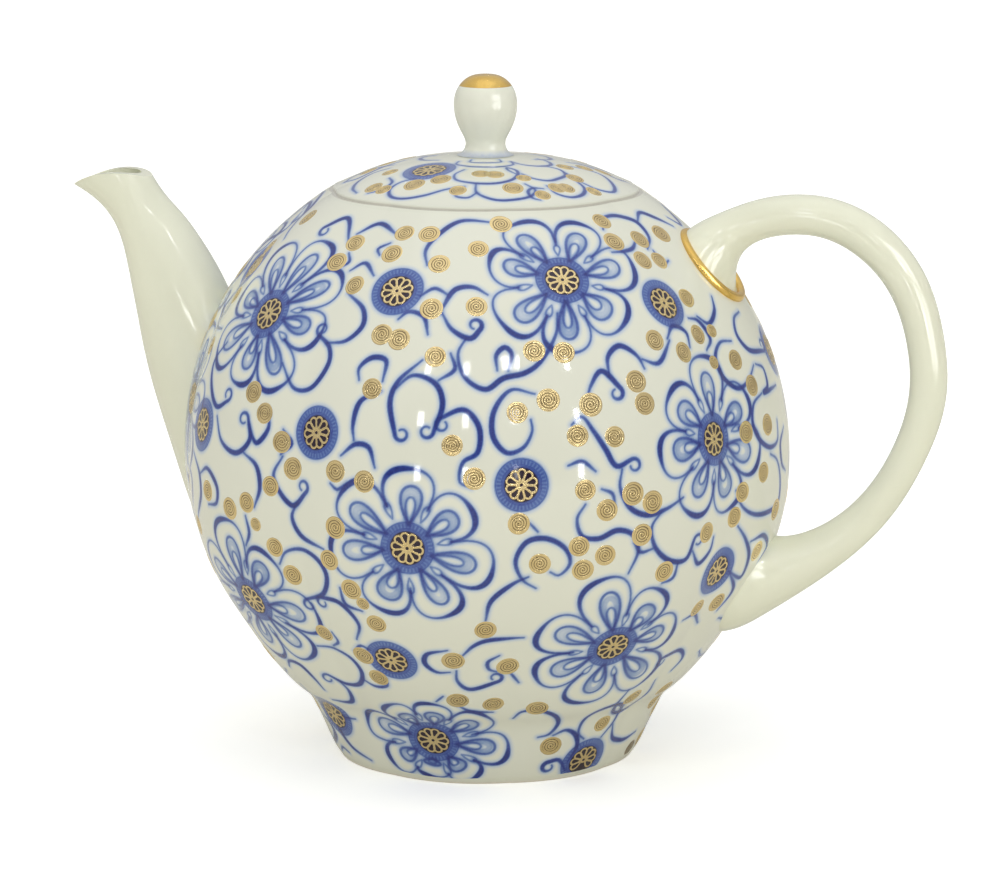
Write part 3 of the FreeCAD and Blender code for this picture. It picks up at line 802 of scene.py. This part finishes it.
class Paint:
    """A node material with a principled surface."""

    def __init__(self, name):
        self.material = bpy.data.materials.new(name)
        self.material.use_nodes = True
        self.nodes = self.material.node_tree.nodes
        self.links = self.material.node_tree.links
        self.surface = self.nodes["Principled BSDF"]
        self.place = self.nodes.new("ShaderNodeTexCoord").outputs["Object"]

    def set(self, socket, value):
        self.surface.inputs[socket].default_value = value

    def wire(self, output, socket):
        self.links.new(output, self.surface.inputs[socket])

    def noise(self, scale, detail=3.0, roughness=0.5):
        node = self.nodes.new("ShaderNodeTexNoise")
        node.inputs["Scale"].default_value = scale
        node.inputs["Detail"].default_value = detail
        node.inputs["Roughness"].default_value = roughness
        self.links.new(self.place, node.inputs["Vector"])
        return node.outputs["Fac"]

    def attribute(self, name):
        node = self.nodes.new("ShaderNodeAttribute")
        node.attribute_name = name
        return node.outputs["Fac"]

    def span(self, value, low, high, from_low=0.0, from_high=1.0):
        node = self.nodes.new("ShaderNodeMapRange")
        node.inputs["From Min"].default_value = from_low
        node.inputs["From Max"].default_value = from_high
        node.inputs["To Min"].default_value = low
        node.inputs["To Max"].default_value = high
        self.links.new(value, node.inputs["Value"])
        return node.outputs["Result"]

    def times(self, first, second):
        node = self.nodes.new("ShaderNodeMath")
        node.operation = "MULTIPLY"
        self.links.new(first, node.inputs[0])
        self.links.new(second, node.inputs[1])
        return node.outputs["Value"]

    def ramp(self, value, *stops):
        node = self.nodes.new("ShaderNodeValToRGB")
        elements = node.color_ramp.elements
        while len(elements) < len(stops):
            elements.new(0.5)
        for element, (position, colour) in zip(elements, stops):
            element.position = position
            element.color = colour
        self.links.new(value, node.inputs["Fac"])
        return node.outputs["Color"]

    def mix(self, share, first, second):
        node = self.nodes.new("ShaderNodeMix")
        node.data_type = "RGBA"
        for socket, value in ((6, first), (7, second)):
            if isinstance(value, tuple):
                node.inputs[socket].default_value = value
            else:
                self.links.new(value, node.inputs[socket])
        self.links.new(share, node.inputs[0])
        return node.outputs[2]

    def bump(self, height, distance, strength=1.0):
        node = self.nodes.new("ShaderNodeBump")
        node.inputs["Distance"].default_value = distance
        node.inputs["Strength"].default_value = strength
        self.links.new(height, node.inputs["Height"])
        self.wire(node.outputs["Normal"], "Normal")

    def height(self):
        node = self.nodes.new("ShaderNodeSeparateXYZ")
        self.links.new(self.place, node.inputs["Vector"])
        return node.outputs["Z"]


WHITE_GLAZE = tone(235, 236, 221)
CREAM_GLAZE = tone(238, 239, 218)
SMOOTHEST = 0.045
ROUGHEST = 0.085


def glossy(paint, smoothest=SMOOTHEST, roughest=ROUGHEST):
    """The clear glaze over everything: very smooth, with the faintest waviness."""
    paint.wire(paint.span(paint.noise(260.0), smoothest, roughest), "Roughness")
    paint.set("IOR", 1.52)
    paint.set("Specular IOR Level", 0.55)
    paint.bump(paint.noise(38.0, 1.0), 0.00022, 0.35)


def painted_glaze():
    paint = Paint("painted_glaze")
    grain = paint.span(paint.noise(1500.0, 2.0, 0.6), 0.86, 1.10)
    drift = paint.span(paint.noise(120.0), 0.90, 1.08)
    ink = paint.times(paint.times(paint.attribute("cobalt"), grain), drift)
    blue = paint.ramp(
        ink,
        (0.0, WHITE_GLAZE),
        (0.16, tone(204, 214, 226)),
        (0.40, tone(143, 166, 204)),
        (0.62, tone(92, 119, 182)),
        (0.84, tone(52, 70, 150)),
        (1.0, tone(33, 43, 116)))
    dark = paint.mix(paint.attribute("night"), blue, tone(34, 12, 36))
    paint.wire(paint.mix(paint.attribute("umber"), dark, tone(112, 92, 52)), "Base Color")
    glossy(paint)
    return paint.material


def cream_glaze():
    """The spout and the handle are undecorated and a touch less glossy."""
    paint = Paint("cream_glaze")
    paint.wire(paint.mix(paint.noise(45.0), CREAM_GLAZE, tone(233, 234, 212)), "Base Color")
    glossy(paint, 0.07, 0.13)
    return paint.material


def seam_shaded_glaze():
    """White glaze, with a thin grey band of painted shadow where the lid and the rim meet."""
    paint = Paint("seam_shaded_white_glaze")
    height = paint.height()
    above = paint.span(height, 0.0, 1.0, 0.1664, 0.1666)
    below = paint.span(height, 1.0, 0.0, 0.1669, 0.1673)
    glaze = paint.mix(paint.noise(45.0), WHITE_GLAZE, tone(231, 233, 217))
    # Painted shadow: a thin greyer band at the height of the seam between the lid and the rim.
    band_colour = paint.mix(paint.noise(700.0), tone(196, 193, 180), tone(210, 207, 194))
    paint.wire(paint.mix(paint.times(above, below), glaze, band_colour), "Base Color")
    glossy(paint)
    return paint.material


def foot_glaze():
    """The foot's resting edge is wiped bare of glaze before firing."""
    paint = Paint("foot_glaze")
    bare = paint.span(paint.height(), 1.0, 0.0, 0.0004, 0.0010)
    # The bare, unglazed clay of the resting edge.
    band_colour = paint.mix(paint.noise(700.0), tone(224, 219, 205), tone(238, 234, 222))
    paint.wire(paint.mix(bare, WHITE_GLAZE, band_colour), "Base Color")
    paint.wire(paint.span(bare, 0.06, 0.62), "Roughness")
    paint.bump(paint.noise(1400.0), 0.00004, 0.3)
    return paint.material


def knob_glaze():
    """The knob stands in a pale blue painted ring."""
    paint = Paint("knob_glaze")
    height = paint.height()
    low = paint.span(height, 1.0, 0.0, 0.1775, 0.1788)
    ring = paint.times(low, paint.span(paint.noise(900.0), 0.20, 0.65))
    paint.wire(paint.mix(ring, WHITE_GLAZE, tone(120, 148, 210)), "Base Color")
    glossy(paint)
    return paint.material


def fired_gold(name, dull, bright):
    paint = Paint(name)
    paint.wire(paint.mix(paint.noise(240.0, 4.0), dull, bright), "Base Color")
    paint.set("Metallic", 1.0)
    paint.wire(paint.span(paint.noise(900.0), 0.16, 0.32), "Roughness")
    paint.bump(paint.noise(420.0, 2.0), 0.00012, 0.5)
    return paint.material


# ---------------------------------------------------------------- building the teapot

POT_COLUMNS = 1800
POT_ROWS = 640
LID_COLUMNS = 880
LID_ROWS = 120

# Where each skin is measured from on the axis, and the heights that it runs between.
POT_SKIN = (88.0, 1.2, 166.4)
LID_SKIN = (100.0, 167.7, 176.75)
VENT = ((0.0, 24.0), 1.7)

glaze = painted_glaze()
white = seam_shaded_glaze()
cream = cream_glaze()
gold = fired_gold("ornament_gold", tone(208, 182, 128), tone(238, 218, 168))
bright_gold = fired_gold("band_gold", tone(206, 166, 84), tone(240, 206, 124))

pot_skin = Skin(cad_tree("body_shell", "foot_ring"), *POT_SKIN, POT_COLUMNS, POT_ROWS)
lid_skin = LidSkin(cad_tree("lid_dome"), *LID_SKIN, LID_COLUMNS, LID_ROWS)

pot_dots = Ribbons(pot_skin)
pot_rosettes = Ribbons(pot_skin)
decorate_pot(pot_skin, pot_dots, pot_rosettes)
lid_gold = Ribbons(lid_skin)
decorate_lid(lid_skin, lid_gold, lid_gold)

for lobe in range(LOBES):
    across = POT_COLUMNS // LOBES
    half = POT_ROWS // 2
    skin_panel(pot_skin, f"glaze_lower_{lobe + 1}", lobe * across, across, 0, half, glaze, "pot")
    skin_panel(pot_skin, f"glaze_upper_{lobe + 1}", lobe * across, across, half, half, glaze, "pot")
skin_panel(lid_skin, "glaze_lid", 0, LID_COLUMNS, 0, LID_ROWS, glaze, "lid", VENT)

ribbon_piece(pot_dots, "gold_dots", gold, "pot")
ribbon_piece(pot_rosettes, "gold_rosettes", gold, "pot")
ribbon_piece(lid_gold, "lid_gold", gold, "lid")

for name, material in (
        ("body_shell", white), ("foot_ring", foot_glaze()), ("spout", cream), ("handle", cream),
        ("lid_dome", white), ("lid_flange", white), ("lid_knob", knob_glaze()),
        ("handle_gold_ring", bright_gold), ("knob_gold_cap", bright_gold)):
    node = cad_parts[name]
    node.data.materials.clear()
    node.data.materials.append(material)


# ---------------------------------------------------------------- floor, light and camera


FLOOR_HALF_WIDTH = 7000.0
FLOOR_BEHIND = 9000.0
POT_MIDDLE = Vector((0.0, 0.0, 0.11))
WINDOW_AIM = Vector((0.0, 0.0, 0.14))
CAMERA_PLACE = Vector((0.3170, -1.1832, 0.3320))
CAMERA_AIM = Vector((0.0, 0.0, 0.0923))


def make_floor():
    """A pale, plain floor that reaches the horizon."""
    depths = (-FLOOR_HALF_WIDTH, FLOOR_BEHIND)
    points = [(x, y, 0.0) for x in (-FLOOR_HALF_WIDTH, FLOOR_HALF_WIDTH) for y in depths]
    floor = build_mesh("floor", points, grid_quads(2, 2))
    paint = Paint("floor_paper")
    colour = paint.mix(paint.noise(6.0), tone(247, 247, 245), tone(250, 250, 248))
    paint.wire(colour, "Emission Color")
    seen = paint.nodes.new("ShaderNodeLightPath").outputs["Is Camera Ray"]
    paint.wire(paint.mix(seen, tone(236, 233, 221), colour), "Base Color")
    paint.wire(paint.span(seen, 0.035, 0.42), "Emission Strength")
    paint.set("Roughness", 0.9)
    floor.data.materials.append(paint.material)


def facing(across, up):
    """A direction from its degrees round the axis and its degrees above the table."""
    across = math.radians(across)
    up = math.radians(up)
    return Vector((math.cos(up) * math.cos(across), math.cos(up) * math.sin(across), math.sin(up)))


def turn_to(thing, aim):
    thing.rotation_euler = (aim - thing.location).to_track_quat("-Z", "Y").to_euler()


def make_lamp(name, place, aim, width, height, power):
    light = bpy.data.lights.new(name, "AREA")
    light.shape = "RECTANGLE"
    light.size = width
    light.size_y = height
    light.energy = power
    lamp = bpy.data.objects.new(name, light)
    bpy.context.scene.collection.objects.link(lamp)
    lamp.location = place
    turn_to(lamp, aim)
    return lamp


def make_window(*pieces):
    """A soft window of four panes that is only seen reflected in the undecorated pieces."""
    mirrors = bpy.data.collections.new("window_mirrors")
    for piece in pieces:
        mirrors.objects.link(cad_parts[piece])
    for column in range(2):
        for row in range(2):
            place = WINDOW_AIM + 0.8 * facing(-40.0 + 16.0 * column, 3.0 + 23.0 * row)
            lamp = make_lamp(f"window_{column}_{row}", place, WINDOW_AIM, 0.19, 0.28, 0.95)
            lamp.visible_diffuse = False
            lamp.visible_camera = False
            lamp.light_linking.receiver_collection = mirrors


def make_world():
    """Soft light that's strongest overhead and dim in the room behind the camera."""
    world = bpy.data.worlds.new("studio")
    world.use_nodes = True
    nodes = world.node_tree.nodes
    links = world.node_tree.links
    direction = nodes.new("ShaderNodeSeparateXYZ")
    links.new(nodes.new("ShaderNodeTexCoord").outputs["Generated"], direction.inputs[0])
    height = nodes.new("ShaderNodeMapRange")
    height.inputs["From Min"].default_value = -0.1
    height.inputs["To Min"].default_value = 0.41
    height.inputs["To Max"].default_value = 0.93
    links.new(direction.outputs["Z"], height.inputs["Value"])
    room = nodes.new("ShaderNodeMapRange")
    room.interpolation_type = "SMOOTHSTEP"
    room.inputs["From Min"].default_value = -0.93
    room.inputs["From Max"].default_value = -0.80
    room.inputs["To Min"].default_value = 0.46
    links.new(direction.outputs["Y"], room.inputs["Value"])
    shade = nodes.new("ShaderNodeMath")
    shade.operation = "MULTIPLY"
    links.new(height.outputs["Result"], shade.inputs[0])
    links.new(room.outputs["Result"], shade.inputs[1])
    seen = nodes.new("ShaderNodeLightPath").outputs["Is Camera Ray"]
    strength = nodes.new("ShaderNodeMath")
    strength.operation = "MAXIMUM"
    links.new(shade.outputs["Value"], strength.inputs[0])
    links.new(seen, strength.inputs[1])
    background = nodes["Background"]
    background.inputs["Color"].default_value = (1.0, 1.0, 0.985, 1.0)
    links.new(strength.outputs["Value"], background.inputs["Strength"])
    bpy.context.scene.world = world


def make_camera():
    camera = bpy.data.cameras.new("camera")
    camera.lens = 152.8
    camera.sensor_width = 36.0
    camera.clip_start = 0.05
    camera.shift_x = 0.0145
    holder = bpy.data.objects.new("camera", camera)
    bpy.context.scene.collection.objects.link(holder)
    holder.location = CAMERA_PLACE
    turn_to(holder, CAMERA_AIM)
    bpy.context.scene.camera = holder


def make_panes():
    """Nine small bright panes that make the highlights on the body."""
    for column in range(3):
        for row in range(3):
            place = POT_MIDDLE + 1.7 * facing(-97.0 + 23.5 * column, 1.5 + 19.0 * row)
            make_lamp(f"pane_{column}_{row}", place, POT_MIDDLE, 0.085, 0.14, 0.60)


make_floor()
make_world()
make_panes()
make_window("spout", "handle", "lid_knob", "handle_gold_ring", "knob_gold_cap")
make_lamp("overhead", Vector((0.0, -0.2, 1.8)), Vector((0.0, 0.0, 0.0)), 1.4, 1.4, 1.7)
make_camera()
bpy.context.scene.view_settings.view_transform = "Standard"
